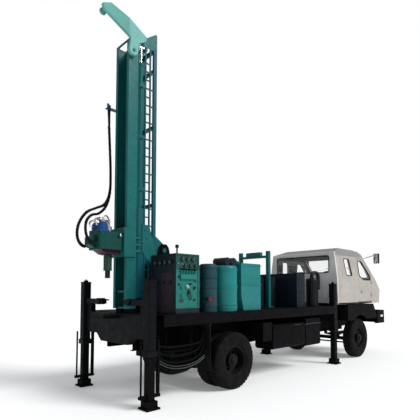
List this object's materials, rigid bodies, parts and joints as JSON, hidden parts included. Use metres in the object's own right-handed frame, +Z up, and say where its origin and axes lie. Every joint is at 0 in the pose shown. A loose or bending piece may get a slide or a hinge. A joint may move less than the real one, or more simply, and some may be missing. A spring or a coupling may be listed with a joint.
{
  "type": "truck-mounted water well drilling rig",
  "caption": "Cabover truck with an upright folding drill mast, sliding rotary head, deck console and tanks, and outrigger legs that stand on the ground.",
  "frame": {"origin": "on the ground, under the middle of the overall length and width", "axes": "+X forward to the cab, +Y to the truck's left, +Z up"},
  "size_m": [9.2409, 2.54, 6.947],
  "materials": {
    "tyre": "matt",
    "wheel_steel": "satin",
    "chassis_black": "satin",
    "mast_teal": "gloss",
    "jib_teal": "gloss",
    "chrome": "polished",
    "motor_blue": "gloss",
    "bare_steel": "brushed",
    "power_navy": "satin",
    "cab_white": "gloss",
    "glass": "clear",
    "seat_vinyl": "matt",
    "hose_rubber": "matt",
    "lamp_glass": "clear"
  },
  "bodies": {
    "chassis": {"air_filters": "chassis_black", "axle_front": "chassis_black", "axle_rear": "chassis_black", "bumper": "chassis_black", "console": "mast_teal", "deck": "chassis_black", "deck_tanks": "mast_teal", "driveline": "chassis_black", "foot_table": "chassis_black", "frame_rails": "chassis_black", "lamps": "lamp_glass", "leaf_springs": "chassis_black", "mast_rest": "mast_teal", "mast_supports": "chassis_black", "outrigger_frames": "chassis_black", "power_box": "power_navy", "side_tanks": "chassis_black"},
    "mast": {"mast_rails": "mast_teal", "mast_truss": "mast_teal", "mast_crown": "mast_teal", "mast_lugs": "mast_teal", "feed_rod": "chrome", "hose_outer": "hose_rubber", "hose_inner": "hose_rubber"},
    "feed_barrel": {"feed_barrel": "mast_teal"},
    "head": {"head_carriage": "mast_teal", "head_gearbox": "mast_teal", "head_motors": "motor_blue", "head_swivel": "bare_steel"},
    "spindle": {"spindle": "mast_teal"},
    "jib": {"jib": "jib_teal"},
    "lift_barrel": {"lift_barrel": "mast_teal"},
    "lift_rod": {"lift_rod": "chrome"},
    "cab": {"cab_floor": "cab_white", "cab_roof": "cab_white", "cab_rear_wall": "cab_white", "cab_sides": "cab_white", "cab_front": "cab_white", "cab_glass": "glass", "seats": "seat_vinyl", "mirrors": "chassis_black"},
    "door_left": {"door_left": "cab_white", "door_glass_left": "glass"},
    "door_right": {"door_right": "cab_white", "door_glass_right": "glass"},
    "tie_rod": {"tie_rod": "chassis_black"},
    "leg_rear_left": {"leg_rear_left": "chassis_black"},
    "leg_front_left": {"leg_front_left": "chassis_black"},
    "knuckle_left": {"knuckle_left": "chassis_black"},
    "wheel_front_left": {"tyre_front_left": "tyre", "rim_front_left": "wheel_steel"},
    "wheel_rear_left": {"tyres_rear_left": "tyre", "rims_rear_left": "wheel_steel"},
    "leg_rear_right": {"leg_rear_right": "chassis_black"},
    "leg_front_right": {"leg_front_right": "chassis_black"},
    "knuckle_right": {"knuckle_right": "chassis_black"},
    "wheel_front_right": {"tyre_front_right": "tyre", "rim_front_right": "wheel_steel"},
    "wheel_rear_right": {"tyres_rear_right": "tyre", "rims_rear_right": "wheel_steel"}
  },
  "joints": [
    {"name": "mast_tilt", "type": "hinge", "parent": "chassis", "child": "mast", "pos_m": [-3.165, 0, 2.6], "axis": [0, 1, 0], "range_deg": [0, 90]},
    {"name": "lift_barrel_swing", "type": "hinge", "parent": "chassis", "child": "lift_barrel", "pos_m": [-1.465, 0, 1.75], "axis": [0, 1, 0], "range_deg": [0, 21]},
    {"name": "lift_rod_stroke", "type": "slide", "parent": "lift_barrel", "child": "lift_rod", "axis": [-1, 0, 0], "range_m": [0, 0.93]},
    {"name": "head_feed", "type": "slide", "parent": "mast", "child": "head", "axis": [0, 0, 1], "range_m": [-0.25, 3], "deforming": ["hose_outer", "hose_inner"]},
    {"name": "feed_barrel_travel", "type": "slide", "parent": "mast", "child": "feed_barrel", "axis": [0, 0, 1], "range_m": [-1.51, 0.13]},
    {"name": "spindle_spin", "type": "hinge", "parent": "head", "child": "spindle", "pos_m": [-4.21, 0, 2.3], "axis": [0, 0, 1], "continuous": true},
    {"name": "jib_swing", "type": "hinge", "parent": "mast", "child": "jib", "pos_m": [-3.91, -0.26, 6.21], "axis": [0, 1, 0], "range_deg": [-40, 25]},
    {"name": "cab_tilt", "type": "hinge", "parent": "chassis", "child": "cab", "pos_m": [4.315, 0, 1.4], "axis": [0, 1, 0], "range_deg": [0, 45]},
    {"name": "door_left_swing", "type": "hinge", "parent": "cab", "child": "door_left", "pos_m": [3.828, 1.092, 1.9], "axis": [0, 0, -1], "range_deg": [0, 65]},
    {"name": "door_right_swing", "type": "hinge", "parent": "cab", "child": "door_right", "pos_m": [3.828, -1.092, 1.9], "axis": [0, 0, 1], "range_deg": [0, 65]},
    {"name": "steer_left", "type": "hinge", "parent": "chassis", "child": "knuckle_left", "pos_m": [2.995, 0.79, 0.53], "axis": [0, 0, 1], "range_deg": [-35, 35]},
    {"name": "steer_right", "type": "hinge", "parent": "chassis", "child": "knuckle_right", "pos_m": [2.995, -0.79, 0.53], "axis": [0, 0, 1], "range_deg": [-35, 35]},
    {"name": "tie_rod_shift", "type": "slide", "parent": "chassis", "child": "tie_rod", "axis": [0, -1, 0], "range_m": [-0.087, 0.087]},
    {"name": "roll_front_left", "type": "hinge", "parent": "knuckle_left", "child": "wheel_front_left", "pos_m": [2.995, 0.962, 0.53], "axis": [0, 1, 0], "continuous": true},
    {"name": "roll_rear_left", "type": "hinge", "parent": "chassis", "child": "wheel_rear_left", "pos_m": [-2.175, 0.9, 0.53], "axis": [0, 1, 0], "continuous": true},
    {"name": "leg_rear_left_lift", "type": "slide", "parent": "chassis", "child": "leg_rear_left", "axis": [0, 0, 1], "range_m": [0, 0.45]},
    {"name": "leg_front_left_lift", "type": "slide", "parent": "chassis", "child": "leg_front_left", "axis": [0, 0, 1], "range_m": [0, 0.45]},
    {"name": "roll_front_right", "type": "hinge", "parent": "knuckle_right", "child": "wheel_front_right", "pos_m": [2.995, -0.962, 0.53], "axis": [0, 1, 0], "continuous": true},
    {"name": "roll_rear_right", "type": "hinge", "parent": "chassis", "child": "wheel_rear_right", "pos_m": [-2.175, -0.9, 0.53], "axis": [0, 1, 0], "continuous": true},
    {"name": "leg_rear_right_lift", "type": "slide", "parent": "chassis", "child": "leg_rear_right", "axis": [0, 0, 1], "range_m": [0, 0.45]},
    {"name": "leg_front_right_lift", "type": "slide", "parent": "chassis", "child": "leg_front_right", "axis": [0, 0, 1], "range_m": [0, 0.45]}
  ],
  "couplings": [
    {"joint": "lift_barrel_swing", "follows": "mast_tilt", "ratio": 0.22667},
    {"joint": "lift_rod_stroke", "follows": "mast_tilt", "m_per_rad": 0.58569},
    {"joint": "feed_barrel_travel", "follows": "head_feed", "ratio": -0.5},
    {"joint": "steer_right", "follows": "steer_left", "ratio": 1},
    {"joint": "tie_rod_shift", "follows": "steer_left", "m_per_rad": 0.14084}
  ]
}
